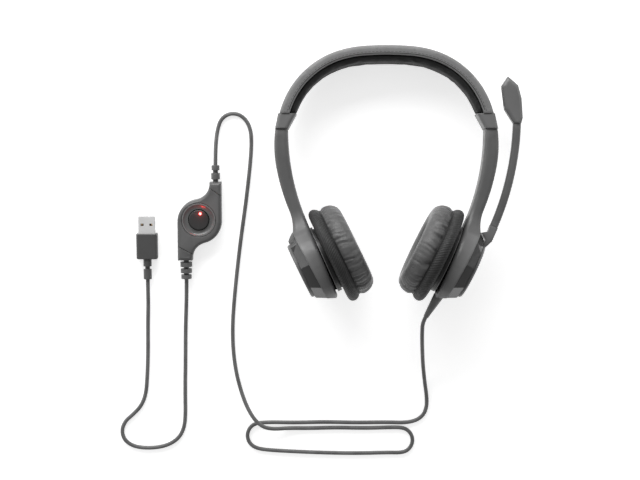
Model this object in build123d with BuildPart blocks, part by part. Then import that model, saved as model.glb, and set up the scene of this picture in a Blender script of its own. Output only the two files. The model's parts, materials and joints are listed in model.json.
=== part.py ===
from build123d import *
import os
from math import atan, cos, degrees, pi, radians, sin, tan

# Office headset with a mic boom, an in-line remote and a USB plug, lying on its back on a table.
# Row frame: +X towards the wearer's left, +Y towards the top of the band, +Z up from the table.
# Head frame: u, v, w, in which the headset is drawn, with u = +X, v up the head and w out of its front.
# It leans by PITCH, because the round cups stand higher off the table than the band.

# Head frame
PITCH = 8.36
HEAD_ORIGIN = (-8.4, 25.98, 22.904)

# Band: depths are measured inwards from its outer face
BAND_TOP = 66.5
BAND_ARCS = ((200.0, 5.1), (71.1, 13.5), (59.7, 62.0))
BAND_HALF_TOP = 14.0
BAND_HALF_END = 10.2
BAND_END_V = 20.3
SHELL_SKIN = 1.8
SHELL_DEPTH = 6.8
PAD_DEPTH = 10.2
PAD_END_GAP = 0.6
STRIP_NEAR = 2.6
STRIP_FAR = 3.5
STRIP_WIDTH = 15.0

# Slider
ARM_HALF = 8.6
CAP_EDGE = 2.6
CAP_OUTLINE = ((61.4, 20.3), (73.9, 20.3), (76.0, 10.0), (67.0, 10.0))
ARM_TOP_V = 9.7
SLIDE_START = (69.5, 0.0)
SLIDE_DIRECTION = (-0.0948, -0.9955)
TONGUE_WIDTH = 10.0
TONGUE_THICKNESS = 2.2
TONGUE_ABOVE = 17.5
TONGUE_BELOW = 32.0
SLOT_BELOW = 36.0
SLOT_PLAY = 0.15
DETENT_PITCH = 4.0
DETENT_COUNT = 6
SPRING_AT = 22.0
SPRING_POCKET = 2.0
SPRING_WIDTH = 5.0
SPRING_LENGTH = 8.0
SPRING_LEAF = 0.5
PIN_RADIUS = 1.5
PIN_LENGTH = 7.0
PIN_SPACING = 5.0
PIN_OFFSET = -13.9

# Cup: s runs outwards along the cup's axis from the speaker's back plate, x up along the cup
CUP_TILT = 26.0
CUP_CENTRE = (41.2, -78.8)
RIM_S = 2.2
RIM_SLOPE = 3.4
SEAM_S = 11.9
SEAM_SLOPE = -2.0
RING_RADIUS = 27.2
HOUSING_FOOT = -27.9
HOUSING_FOOT_LEAN = 26.3
ARM_EDGE = 3.0
RECESS_RADIUS = 24.8
RECESS_DEPTH = 2.2
FLOOR_DEPTH = 3.8
CAVITY_RADIUS = 24.2
COVER_TOP_S = 18.0
DISC_RADIUS = 19.6
DISC_THICKNESS = 2.0
HUB_GAP = 0.3
HUB_RADIUS = 5.0
HUB_BORE = 5.06
PIVOT_S = 7.0
BUSHING_RADIUS = 7.0
SEAT_RADIUS = 7.2
BALL_RADIUS = 4.5
BUSHING_BORE = 4.7
BUSHING_HALF = 3.8
NECK_RADIUS = 2.2
BOSS_CIRCLE = 16.5
BOSS_RADIUS = 2.6
SCREW_RADIUS = 1.1
SCREW_HEAD = 0.85
SCREW_HEAD_RADIUS = 2.2
SCREW_LENGTH = 9.5
SEAT_HEIGHT = 4.8
COVER_BASE_S = 9.0
COVER_ROOF = 2.0
FACET_BASE = 27.1
FACET_RISE = 0.8
FACET_TAPER = 36.0
HUB_SHAFT = 2.6

# Speaker and ear cushion
PLATE_RADIUS = 23.8
PLATE_TOP = 0.4
PLATE_BOTTOM = -0.8
LIP_S = 1.5
LIP_SLOPE = 1.7
LIP_RADIUS = 22.6
CHAMBER_RADIUS = 22.2
CHAMBER_BORE = 19.0
BAFFLE_TOP = -9.0
BAFFLE_BOTTOM = -10.6
BAFFLE_RADIUS = 26.8
SPEAKER_SCREW = 0.9
SPEAKER_SCREW_CIRCLE = 20.6
SPEAKER_SCREW_HEAD = 1.7
MAGNET_RADIUS = 8.3
SCRIM_RADIUS = 14.6
SCRIM_THICKNESS = 0.8

# Half sections of the driver and of the cushion's back, as (radius, s)
BASKET_OUTLINE = (
    (18.6, -9.0),
    (18.6, -6.8),
    (9.6, -4.4),
    (9.6, -3.6),
    (8.4, -3.6),
    (8.4, -5.2),
    (16.4, -7.6),
    (16.4, -9.0),
)
FILM_OUTLINE = (
    (0, -6.4),
    (7.5, -7.4),
    (12.0, -7.9),
    (16.2, -8.4),
    (16.2, -8.7),
    (12.0, -8.2),
    (7.5, -7.7),
    (0, -6.7),
)
CUSHION_BACK = (
    (15.0, -12.6),
    (15.0, -10.9),
    (27.2, -10.9),
    (27.2, -8.8),
    (22.5, -8.8),
    (22.5, -1.6),
    (29.0, -1.6),
)

# Boom
BOOM_RADIUS = 190.0
BOOM_ROOT = (34.0, 19.6)
BOOM_LEAN = 2.26
BOOM_SWEEP = 22.1
BOOM_HALF = 3.0
BOOM_THICKNESS = 5.4
BOOM_EDGE = 1.8
HUB_INNER_OUTLINE = ((12.0, 18.3), (23.2, 18.3), (26.7, 13.9), (29.3, 17.4))
HUB_OUTER_OUTLINE = ((24.2, 22.6), (18.3, 20.3), (12.0, 20.3))
HUB_SCREW = 1.15
WASHER_RADIUS = 7.4
WASHER_THICKNESS = 0.8
MIC_HALF = 4.4
MIC_FACE = (116.9, -13.4)
MIC_FACE_NORMAL = (-0.556, -0.831)
MIC_ROOT = 2.7
MIC_OUTLINE = (
    (109.6, -9.0),
    (123.3, -17.9),
    (130.6, -16.9),
    (128.2, -8.0),
    (121.3, -2.0),
    (109.6, 4.6),
)
MIC_WINDOW = (5.0, 12.6)
MIC_EDGE = 1.3
MIC_BEVEL = 2.0
CAPSULE_RADIUS = 2.35

# Strain relief under the mic-side cup
BOOT_START = (-23.0, 6.6)
BOOT_DIRECTION = (-0.489, -0.874)
BOOT_DROP = 20.0
BOOT_LENGTH = 20.0
BOOT_BASE = 3.7
BOOT_TIP = 1.75

# Cords: hand-set points from end to end, lying on the table except at their ends and at the crossing
CORD = 2.8
UPPER_ROUTE = (
    (19.5, -92.5, 33.4),
    (17.4, -96.6, 32.3),
    (17.2, -104.0, 29.4),
    (17.9, -116.5, 22.0),
    (19.4, -132.5, 10.6),
    (21.4, -147.0, 3.2),
    (23.0, -157.5, 1.4),
    (23.1, -164.8, 1.4),
    (20.9, -171.1, 1.4),
    (15.6, -175.2, 1.4),
    (7.5, -176.9, 1.4),
    (-6.0, -176.4, 1.4),
    (-27.0, -176.8, 1.4),
    (-50.0, -176.2, 1.4),
    (-72.0, -176.8, 1.4),
    (-89.0, -176.4, 1.4),
    (-99.7, -177.0, 1.4),
    (-104.6, -180.6, 1.4),
    (-106.5, -186.4, 1.4),
    (-104.6, -192.2, 1.4),
    (-99.7, -195.9, 1.4),
    (-90.0, -197.3, 1.4),
    (-72.0, -198.3, 1.4),
    (-48.0, -199.3, 1.4),
    (-25.0, -199.6, 1.4),
    (-5.2, -199.0, 1.4),
    (6.6, -199.2, 1.4),
    (11.6, -195.6, 1.4),
    (13.5, -189.8, 1.4),
    (11.6, -184.0, 1.4),
    (6.7, -180.4, 1.4),
    (-3.5, -180.3, 1.4),
    (-21.0, -180.9, 1.4),
    (-42.0, -180.4, 1.4),
    (-61.0, -181.0, 1.4),
    (-76.0, -180.6, 2.2),
    (-86.6, -180.6, 5.2),
    (-94.5, -178.6, 7.6),
    (-101.0, -172.6, 7.6),
    (-106.4, -163.6, 5.0),
    (-110.6, -152.6, 2.0),
    (-113.8, -139.8, 1.4),
    (-115.9, -123.5, 1.4),
    (-116.1, -104.0, 1.4),
    (-114.5, -84.0, 1.4),
    (-112.2, -63.0, 1.4),
    (-109.5, -41.5, 1.4),
    (-106.4, -20.5, 1.4),
    (-104.0, -1.5, 1.4),
    (-102.4, 13.5, 1.4),
    (-101.7, 24.5, 1.4),
    (-102.1, 33.6, 1.4),
    (-104.9, 40.6, 1.4),
    (-110.4, 45.2, 1.4),
    (-117.3, 45.6, 1.4),
    (-123.0, 41.6, 1.4),
    (-125.4, 34.4, 1.6),
    (-126.5, 26.0, 3.0),
    (-126.8, 17.0, 4.5),
    (-126.9, 9.5, 4.6),
)
LOWER_ROUTE = (
    (-175.7, -71.2, 4.0),
    (-175.7, -79.0, 3.8),
    (-175.9, -90.0, 2.0),
    (-176.5, -105.0, 1.4),
    (-176.7, -125.0, 1.4),
    (-177.6, -143.5, 1.4),
    (-178.8, -156.0, 1.4),
    (-182.4, -164.6, 1.4),
    (-188.4, -170.8, 1.4),
    (-194.2, -175.8, 1.4),
    (-196.8, -182.7, 1.4),
    (-194.9, -189.7, 1.4),
    (-189.0, -194.1, 1.4),
    (-181.2, -195.6, 1.4),
    (-171.5, -195.4, 1.4),
    (-162.5, -193.1, 1.4),
    (-155.4, -188.1, 1.4),
    (-151.6, -180.6, 1.4),
    (-150.5, -170.8, 1.4),
    (-150.6, -153.5, 1.4),
    (-150.0, -131.0, 1.4),
    (-149.7, -110.0, 1.4),
    (-149.0, -93.5, 1.8),
    (-148.3, -81.0, 4.2),
    (-148.2, -70.8, 4.6),
)

# Remote and plug
REMOTE_CENTRE = (-138.3, -29.8)
BODY_RADIUS = 15.5
REMOTE_SEAM_Z = 5.0
REMOTE_TOP_Z = 10.4
REMOTE_CORD_Z = 4.6
REMOTE_WALL = 1.6
REMOTE_TOP_EDGE = 2.4
REMOTE_BACK_EDGE = 1.4
UPPER_NECK = 8.2
LOWER_NECK = 10.3
NECK_END = 27.6
NECK_FILLET = 12.0
UPPER_SEAM = ((0, 29.1), (20, 14.7))
LOWER_SEAM = ((-20, -14.5), (0, -25.2))
BOOT_SEAM_GAP = 0.4
RING_OPENING = 12.1
REMOTE_SCREWS = ((11.6, 15.4), (-10.6, -16.6))
SCREW_HOLE = 0.95
REMOTE_SCREW_HEAD = 1.7
BOARD_RADIUS = 12.6
BOARD_THICKNESS = 1.2
SWITCH_RADIUS = 1.9
SWITCH_PLACES = (-9.7, 0.0, 9.7)
RING_PIVOT_Z = 7.3
RING_PIN = 0.8
RING_PIN_END = 13.1
BUTTON_RADIUS = 7.1
LED_PLACE = (1.2, 4.5)
LED_RADIUS = 1.1
UPPER_STEM_X = 11.4
LOWER_STEM_X = -9.9
MOULD_WIDTH = 14.8
MOULD_LENGTH = 18.0
SHELL_WIDTH = 12.0
SHELL_HEIGHT = 4.5
SHELL_WALL = 0.32
SHELL_LENGTH = 11.9
SHELL_INSIDE = 5.0
SHELL_HOLE = (2.1, 1.7)
SHELL_HOLE_X = 3.1
SHELL_HOLE_Y = 15.4
INSERT_DROP = 0.97
INSERT_SECTION = (11.0, 1.9)
CONTACT_PLACES = (-3.5, -1.0, 1.0, 3.5)
RING_CENTRE = (-0.4, 1.4)
PLUG_CENTRE = (-175.7, -47.7)
PLUG_CORD_Z = 4.0

# Ribbed strain reliefs: each rib's or neck's (radius, length), from the root outwards
UPPER_STEM = ((1.9, 2.0), (3.1, 4.2), (1.8, 2.2), (2.8, 3.3))
LOWER_STEM = ((1.9, 1.6), (4.2, 3.2), (1.9, 1.6), (4.0, 2.8), (1.8, 1.5), (3.7, 2.7))
PLUG_STEM = ((2.9, 5.3), (1.7, 2.2), (2.9, 7.0))

HEAD = Plane(
    origin=HEAD_ORIGIN,
    x_dir=(1, 0, 0),
    z_dir=(0, sin(radians(PITCH)), cos(radians(PITCH))),
)
SIDE = Plane(origin=HEAD.origin, x_dir=HEAD.y_dir, z_dir=HEAD.x_dir)
MIDPLANE = Plane(origin=HEAD.origin, x_dir=(0, 1, 0), z_dir=(1, 0, 0))
BAND_END = Plane(
    origin=HEAD.from_local_coords(Vector(0, BAND_END_V, 0)), x_dir=HEAD.x_dir, z_dir=HEAD.y_dir
)


def head_point(u, v, w=0.0):
    """A point of the head frame, in the row frame."""
    return HEAD.from_local_coords(Vector(u, v, w))


def head_direction(u, v, w=0.0):
    """A direction of the head frame, in the row frame."""
    return head_point(u, v, w) - HEAD.origin


OUT = (cos(radians(CUP_TILT)), -sin(radians(CUP_TILT)))
UP = (-OUT[1], OUT[0])
CUP = Plane(
    origin=head_point(*CUP_CENTRE), x_dir=head_direction(*UP), z_dir=head_direction(*OUT)
)
CUP_SECTION = Plane(origin=CUP.origin, x_dir=CUP.x_dir, z_dir=-HEAD.z_dir)
CUP_AXIS = Axis(CUP.origin, CUP.z_dir)


def slanted(s, slope, x=0.0):
    """A plane through the cup's x, s, square to its axis but for a slope towards x."""
    turn = radians(slope)
    return Plane(
        origin=CUP.from_local_coords(Vector(x, 0, s)),
        x_dir=CUP.x_dir * cos(turn) - CUP.z_dir * sin(turn),
        z_dir=CUP.z_dir * cos(turn) + CUP.x_dir * sin(turn),
    )


RIM = slanted(RIM_S, RIM_SLOPE)
SEAM = slanted(SEAM_S, SEAM_SLOPE)
FOOT_S = RIM_S - HOUSING_FOOT * tan(radians(RIM_SLOPE))
FOOT = slanted(FOOT_S, HOUSING_FOOT_LEAN - 90, HOUSING_FOOT)
SLIDE = Plane(
    origin=head_point(*SLIDE_START),
    x_dir=HEAD.z_dir,
    z_dir=head_direction(*SLIDE_DIRECTION),
)


def cup_uv(x, s):
    """The head frame's u, v of a place on the cup's own x, s."""
    return (
        CUP_CENTRE[0] + s * OUT[0] + x * UP[0],
        CUP_CENTRE[1] + s * OUT[1] + x * UP[1],
    )


MIC = Plane(
    origin=CUP_SECTION.from_local_coords(Vector(*MIC_FACE)),
    x_dir=HEAD.z_dir,
    z_dir=CUP_SECTION.from_local_coords(Vector(*MIC_FACE_NORMAL)) - CUP_SECTION.origin,
)
BOOT_SLOPE = (BOOT_BASE - BOOT_TIP) / BOOT_LENGTH
BOOT_TAPER = degrees(atan(BOOT_SLOPE))
BOOT_COS = cos(radians(BOOT_DROP))
BOOT = Plane(
    origin=head_point(*cup_uv(*BOOT_START)),
    z_dir=head_direction(
        BOOT_DIRECTION[0] * BOOT_COS, BOOT_DIRECTION[1] * BOOT_COS, -sin(radians(BOOT_DROP))
    ),
)


def save(piece, label):
    """Label a finished piece and write its STEP file."""
    piece.part.label = label
    export_step(piece.part, f"parts/{label}.step")


def save_pair(piece, label):
    """Write a piece of the wearer's left side and its mirror image on the right."""
    save(piece, f"left_{label}")
    with BuildPart() as twin:
        mirror(piece.part, about=MIDPLANE)
    save(twin, f"right_{label}")


os.makedirs("parts", exist_ok=True)
STANDING = (Align.CENTER, Align.CENTER, Align.MIN)


# ---------------------------------------------------------------- headband


def band_strip(near, far, short=0.0):
    """The closed strip of the band between two depths, with its ends shortened by an angle."""
    with BuildSketch(HEAD) as strip:
        with BuildLine():
            ends = []
            for depth in (near, far):
                point = Vector(0, BAND_TOP - depth)
                heading = Vector(1, 0)
                for radius, angle in BAND_ARCS:
                    last = (radius, angle) == BAND_ARCS[-1]
                    arc = JernArc(point, heading, radius - depth, -angle + (short if last else 0))
                    point = arc @ 1
                    heading = arc % 1
                ends.append(point)
            Line(*ends)
            mirror(about=Plane.YZ)
        make_face()
    return strip.sketch


def band_taper(inset):
    """The band's width seen from the side, less an inset, widest at its top."""
    low = BAND_HALF_END - inset
    high = BAND_HALF_TOP - inset
    with BuildSketch(SIDE) as taper:
        Polygon(
            (BAND_END_V - 5, -low),
            (BAND_TOP + 1, -high),
            (BAND_TOP + 1, high),
            (BAND_END_V - 5, low),
            align=None,
        )
    return taper.sketch


def long_edges(piece, radii):
    """The edges between a piece's flat sides and its curved faces of the given radii."""
    faces = piece.faces().filter_by(GeomType.CYLINDER)
    curved = [f for f in faces if min(abs(f.radius - r) for r in radii) < 0.01]
    wanted = ShapeList()
    for edge in piece.edges():
        touching = [f for f in curved if any(edge.is_same(e) for e in f.edges())]
        if len(touching) == 1 and abs((edge @ 0.5 - HEAD.origin).dot(HEAD.z_dir)) > 5:
            wanted.append(edge)
    return wanted


with BuildPart() as headband_shell:
    extrude(band_strip(0, SHELL_DEPTH), amount=20, both=True)
    extrude(band_taper(0), amount=100, both=True, mode=Mode.INTERSECT)
    fillet(long_edges(headband_shell, [radius for radius, angle in BAND_ARCS]), 2.6)
    channel = extrude(
        band_strip(SHELL_SKIN, SHELL_DEPTH + 1), amount=20, both=True, mode=Mode.PRIVATE
    )
    channel = channel & extrude(
        band_taper(SHELL_SKIN), amount=100, both=True, mode=Mode.PRIVATE
    )
    add(channel, mode=Mode.SUBTRACT)
    split(bisect_by=BAND_END, keep=Keep.TOP)
save(headband_shell, "headband_shell")

with BuildPart() as headband_pad:
    extrude(band_strip(SHELL_DEPTH, PAD_DEPTH), amount=20, both=True)
    extrude(band_taper(1.2), amount=100, both=True, mode=Mode.INTERSECT)
    inner_radii = [radius - PAD_DEPTH for radius, angle in BAND_ARCS]
    fillet(long_edges(headband_pad, inner_radii), 1.6)
    split(bisect_by=BAND_END.offset(PAD_END_GAP), keep=Keep.TOP)
save(headband_pad, "headband_pad")

with BuildPart() as headband_spring:
    extrude(band_strip(STRIP_NEAR, STRIP_FAR, 8.0), amount=STRIP_WIDTH / 2, both=True)
save(headband_spring, "headband_spring")

# Two pins hold each tongue in its end cap
tongue_pins = [
    Location(SLIDE.from_local_coords(Vector(side * PIN_SPACING / 2, 0, PIN_OFFSET))) for side in (-1, 1)
]


def pin_rods(radius, length):
    """The two pins' rods, square to the tongue's flat."""
    rods = []
    for place in tongue_pins:
        at = Plane(origin=place.position, x_dir=SLIDE.x_dir, z_dir=SLIDE.y_dir)
        rods.append(at * Cylinder(radius, length, mode=Mode.PRIVATE))
    return rods


with BuildPart() as end_cap:
    with BuildSketch(HEAD):
        Polygon(*CAP_OUTLINE, align=None)
    extrude(amount=ARM_HALF + 1.2, both=True)
    cap_sides = end_cap.edges().filter_by(lambda e: abs((e @ 0.5 - HEAD.origin).dot(HEAD.z_dir)) > 5)
    fillet(cap_sides.filter_by(lambda e: abs((e % 0.5).dot(HEAD.y_dir)) > 0.7), CAP_EDGE)
    with BuildSketch(SLIDE.offset(-TONGUE_ABOVE)):
        Rectangle(TONGUE_WIDTH, TONGUE_THICKNESS)
    extrude(amount=TONGUE_ABOVE, mode=Mode.SUBTRACT)
    for rod in pin_rods(PIN_RADIUS, PIN_LENGTH):
        add(rod, mode=Mode.SUBTRACT)
save_pair(end_cap, "end_cap")

with BuildPart() as tongue:
    with BuildSketch(SLIDE.offset(-TONGUE_ABOVE)):
        Rectangle(TONGUE_WIDTH, TONGUE_THICKNESS)
    extrude(amount=TONGUE_ABOVE + TONGUE_BELOW)
    for rod in pin_rods(PIN_RADIUS, PIN_LENGTH):
        add(rod, mode=Mode.SUBTRACT)
    notch_starts = [TONGUE_BELOW - 4.0 - DETENT_PITCH * index for index in range(DETENT_COUNT)]
    for start in notch_starts:
        with Locations(SLIDE.offset(start)):
            with Locations((0, -TONGUE_THICKNESS / 2, 0)):
                Box(TONGUE_WIDTH + 1, 0.8, 1.2, mode=Mode.SUBTRACT)
save_pair(tongue, "slider_tongue")

with BuildPart() as tongue_pin:
    for rod in pin_rods(PIN_RADIUS, PIN_LENGTH):
        add(rod)
with BuildPart() as tongue_pin_set:
    add(tongue_pin.part)
    mirror(tongue_pin.part, about=MIDPLANE)
save(tongue_pin_set, "tongue_pins")

# ---------------------------------------------------------------- arms and cup housings

with BuildSketch(HEAD) as arm_outline:
    with BuildLine():
        upper = JernArc((75.87, ARM_TOP_V), (0.131, -0.991), 82.5, -18.3)
        lower = JernArc(upper @ 1, upper % 1, 149.0, -11.8)
        neck = TangentArc(lower @ 1, cup_uv(25.5, 12.8), tangent=lower % 1)
        rim_end = cup_uv(-32, RIM_S + 32 * tan(radians(RIM_SLOPE)))
        rim_top = cup_uv(31, RIM_S - 31 * tan(radians(RIM_SLOPE)))
        Polyline(neck @ 1, cup_uv(25.5, 16), cup_uv(-32, 16), rim_end, rim_top)
        ThreePointArc(rim_top, (64.2, -21.0), (67.2, ARM_TOP_V))
        Line((67.2, ARM_TOP_V), (75.87, ARM_TOP_V))
    make_face()

with BuildSketch(CUP) as arm_front:
    Circle(RING_RADIUS)
    with Locations((50, 0)):
        Rectangle(100, 2 * ARM_HALF)
    crotch = arm_front.vertices().filter_by(lambda v: 10 < v.X < 40)
    fillet(crotch, 26)


def arm_edges(piece):
    """The long edges of the arm's front and back."""
    wanted = ShapeList()
    for edge in piece.edges():
        start, middle, end = (HEAD.to_local_coords(edge @ at) for at in (0, 0.5, 1))
        flat = abs(start.Z - end.Z) < 0.1 and abs(abs(middle.Z) - ARM_HALF) < 0.1
        if flat and edge.length > 2 * ARM_HALF and middle.Y < ARM_TOP_V - 1:
            wanted.append(edge)
    return wanted


with BuildPart() as arm_housing:
    extrude(arm_outline.sketch, amount=30, both=True)
    extrude(arm_front.sketch, amount=80, both=True, mode=Mode.INTERSECT)
    split(bisect_by=SEAM, keep=Keep.BOTTOM)
    split(bisect_by=FOOT, keep=Keep.BOTTOM)
    fillet(arm_edges(arm_housing), ARM_EDGE)
    with BuildSketch(RIM):
        Circle(RECESS_RADIUS)
    extrude(amount=RECESS_DEPTH, mode=Mode.SUBTRACT)
    with BuildSketch(RIM.offset(FLOOR_DEPTH)):
        Circle(CAVITY_RADIUS)
    extrude(amount=20, mode=Mode.SUBTRACT)
    with BuildSketch(RIM.offset(FLOOR_DEPTH)):
        Circle(11.0)
    extrude(amount=SEAT_HEIGHT)
    with Locations(CUP.offset(PIVOT_S)):
        Sphere(SEAT_RADIUS, mode=Mode.SUBTRACT)
    with BuildSketch(CUP):
        with PolarLocations(BOSS_CIRCLE, 3, start_angle=90):
            Circle(SCREW_RADIUS + 0.1)
    extrude(amount=20, mode=Mode.SUBTRACT)
    with BuildSketch(SLIDE.offset(-TONGUE_ABOVE)):
        Rectangle(TONGUE_WIDTH + 2 * SLOT_PLAY, TONGUE_THICKNESS + 2 * SLOT_PLAY)
    extrude(amount=TONGUE_ABOVE + SLOT_BELOW, mode=Mode.SUBTRACT)
    with Locations(SLIDE.offset(SPRING_AT)):
        with Locations((0, -TONGUE_THICKNESS / 2 - SPRING_POCKET / 2, 0)):
            Box(
                SPRING_WIDTH + 0.4,
                SPRING_POCKET + 2 * SLOT_PLAY,
                SPRING_LENGTH + 0.4,
                mode=Mode.SUBTRACT,
            )
with BuildPart() as cord_side_housing:
    add(arm_housing.part)
    with BuildSketch(BOOT.offset(-4)):
        Circle(BOOT_BASE + 4 * BOOT_SLOPE)
    extrude(amount=BOOT_LENGTH, taper=BOOT_TAPER, mode=Mode.SUBTRACT)
save(cord_side_housing, "left_arm_housing")
with BuildPart() as plain_side_housing:
    mirror(arm_housing.part, about=MIDPLANE)
save(plain_side_housing, "right_arm_housing")

# A small leaf spring in each arm bears on the tongue's notches
with BuildPart() as detent_spring:
    with Locations(SLIDE.offset(SPRING_AT)):
        with Locations((0, SPRING_LEAF / 2 - TONGUE_THICKNESS / 2 - SPRING_POCKET - SLOT_PLAY, 0)):
            Box(SPRING_WIDTH, SPRING_LEAF, SPRING_LENGTH)
        with Locations((0, -TONGUE_THICKNESS / 2 - SPRING_POCKET / 2 - SLOT_PLAY, 0)):
            Cylinder(SPRING_POCKET / 2 - 0.1, SPRING_WIDTH, rotation=(0, 90, 0))
save_pair(detent_spring, "detent_spring")

# The gloss cover is a cone cut by two rings of flat facets, and stands on three bosses
with BuildPart() as cup_cover:
    with BuildSketch(CUP.offset(COVER_BASE_S)):
        with Locations((FACET_RISE, 0)):
            RegularPolygon(FACET_BASE, 9, major_radius=False, rotation=8)
    extrude(amount=COVER_TOP_S - COVER_BASE_S, taper=FACET_TAPER)
    with BuildSketch(CUP.offset(COVER_BASE_S)):
        RegularPolygon(FACET_BASE + 3.4, 7, major_radius=False, rotation=20)
    extrude(amount=COVER_TOP_S - COVER_BASE_S, taper=FACET_TAPER + 9, mode=Mode.INTERSECT)
    with BuildSketch(CUP):
        Circle(RING_RADIUS - 0.3)
    extrude(amount=40, mode=Mode.INTERSECT)
    with BuildSketch(CUP.offset(COVER_BASE_S)):
        Circle(RING_RADIUS - 2.2)
    extrude(amount=COVER_TOP_S - COVER_ROOF - COVER_BASE_S, taper=FACET_TAPER, mode=Mode.SUBTRACT)
    split(bisect_by=SEAM, keep=Keep.TOP)
    split(bisect_by=FOOT.offset(-0.1), keep=Keep.BOTTOM)
    with BuildSketch(RIM.offset(FLOOR_DEPTH)):
        with PolarLocations(BOSS_CIRCLE, 3, start_angle=90):
            Circle(BOSS_RADIUS)
    extrude(amount=10.6)
    with BuildSketch(CUP):
        with PolarLocations(BOSS_CIRCLE, 3, start_angle=90):
            Circle(SCREW_RADIUS + 0.05)
        Circle(HUB_BORE)
    extrude(amount=COVER_TOP_S - COVER_ROOF + 0.4, mode=Mode.SUBTRACT)
    with BuildSketch(CUP.offset(COVER_TOP_S - 3)):
        Circle(HUB_BORE)
    extrude(amount=5, mode=Mode.SUBTRACT)
save_pair(cup_cover, "cup_cover")

with BuildPart() as housing_screws:
    with BuildSketch(RIM.offset(RECESS_DEPTH)):
        with PolarLocations(BOSS_CIRCLE, 3, start_angle=90):
            Circle(SCREW_HEAD_RADIUS)
    extrude(amount=-SCREW_HEAD)
    with BuildSketch(CUP.offset(RIM_S)):
        with PolarLocations(BOSS_CIRCLE, 3, start_angle=90):
            Circle(SCREW_RADIUS)
    extrude(amount=SCREW_LENGTH)
    with BuildSketch(RIM.offset(RECESS_DEPTH - SCREW_HEAD)):
        Circle(CAVITY_RADIUS)
    extrude(amount=-RECESS_DEPTH - 2, mode=Mode.SUBTRACT)
save_pair(housing_screws, "housing_screws")

# The bushing turns in the seat on the housing's floor, and holds the ball on the speaker's back
with BuildPart() as swivel_bushing:
    with Locations(CUP.offset(PIVOT_S)):
        Sphere(BUSHING_RADIUS)
    with BuildSketch(CUP.offset(PIVOT_S - BUSHING_HALF)):
        Circle(BUSHING_RADIUS + 1)
    extrude(amount=2 * BUSHING_HALF, mode=Mode.INTERSECT)
    with Locations(CUP.offset(PIVOT_S)):
        Sphere(BUSHING_BORE, mode=Mode.SUBTRACT)
save_pair(swivel_bushing, "swivel_bushing")

# ---------------------------------------------------------------- speakers

with BuildPart() as speaker_back_plate:
    with BuildSketch(CUP.offset(PLATE_BOTTOM)):
        Circle(PLATE_RADIUS)
    extrude(amount=LIP_S + 2 - PLATE_BOTTOM)
    split(bisect_by=slanted(LIP_S, LIP_SLOPE), keep=Keep.BOTTOM)
    with BuildSketch(CUP.offset(PLATE_TOP)):
        Circle(LIP_RADIUS)
    extrude(amount=4, mode=Mode.SUBTRACT)
    with BuildSketch(CUP):
        Circle(NECK_RADIUS + 1.6)
    extrude(amount=1.6, taper=30)
    with BuildSketch(CUP):
        Circle(NECK_RADIUS)
    extrude(amount=PIVOT_S)
    with Locations(CUP.offset(PIVOT_S)):
        Sphere(BALL_RADIUS)
    with BuildSketch(CUP.offset(PLATE_BOTTOM)):
        with PolarLocations(SPEAKER_SCREW_CIRCLE, 3, start_angle=30):
            Circle(SPEAKER_SCREW + 0.05)
    extrude(amount=4, mode=Mode.SUBTRACT)
save_pair(speaker_back_plate, "speaker_back_plate")

with BuildPart() as speaker_chamber:
    with BuildSketch(CUP.offset(PLATE_BOTTOM)):
        Circle(CHAMBER_RADIUS)
        Circle(CHAMBER_BORE, mode=Mode.SUBTRACT)
    extrude(amount=BAFFLE_TOP - PLATE_BOTTOM)
    with BuildSketch(CUP.offset(PLATE_BOTTOM)):
        with PolarLocations(SPEAKER_SCREW_CIRCLE, 3, start_angle=30):
            Circle(SPEAKER_SCREW + 0.05)
    extrude(amount=-5.4, mode=Mode.SUBTRACT)
save_pair(speaker_chamber, "speaker_chamber")

with BuildPart() as speaker_screws:
    with BuildSketch(CUP.offset(PLATE_TOP)):
        with PolarLocations(SPEAKER_SCREW_CIRCLE, 3, start_angle=30):
            Circle(SPEAKER_SCREW_HEAD)
    extrude(amount=0.5)
    with BuildSketch(CUP.offset(PLATE_TOP)):
        with PolarLocations(SPEAKER_SCREW_CIRCLE, 3, start_angle=30):
            Circle(SPEAKER_SCREW)
    extrude(amount=-6)
save_pair(speaker_screws, "speaker_screws")

with BuildPart() as baffle:
    with BuildSketch(CUP.offset(BAFFLE_TOP)):
        Circle(BAFFLE_RADIUS)
    extrude(amount=BAFFLE_BOTTOM - BAFFLE_TOP)
    with BuildSketch(CUP.offset(BAFFLE_TOP)):
        Circle(1.3)
        with PolarLocations(4.6, 6):
            Circle(1.3)
        with PolarLocations(9.2, 12):
            Circle(1.3)
    extrude(amount=BAFFLE_BOTTOM - BAFFLE_TOP, mode=Mode.SUBTRACT)
save_pair(baffle, "baffle")

with BuildPart() as driver_frame:
    with BuildSketch(CUP_SECTION):
        with BuildLine():
            Polyline(*BASKET_OUTLINE, close=True)
        make_face()
    revolve(axis=CUP_AXIS)
save_pair(driver_frame, "driver_frame")

with BuildPart() as driver_magnet:
    with BuildSketch(CUP.offset(-5.2)):
        Circle(MAGNET_RADIUS)
    extrude(amount=3.8)
save_pair(driver_magnet, "driver_magnet")

with BuildPart() as driver_diaphragm:
    with BuildSketch(CUP_SECTION):
        with BuildLine():
            Polyline(*FILM_OUTLINE, close=True)
        make_face()
    revolve(axis=CUP_AXIS)
save_pair(driver_diaphragm, "driver_diaphragm")

with BuildPart() as scrim:
    with BuildSketch(CUP.offset(BAFFLE_BOTTOM - 0.1)):
        Circle(SCRIM_RADIUS)
    extrude(amount=-SCRIM_THICKNESS)
save_pair(scrim, "scrim")

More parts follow.
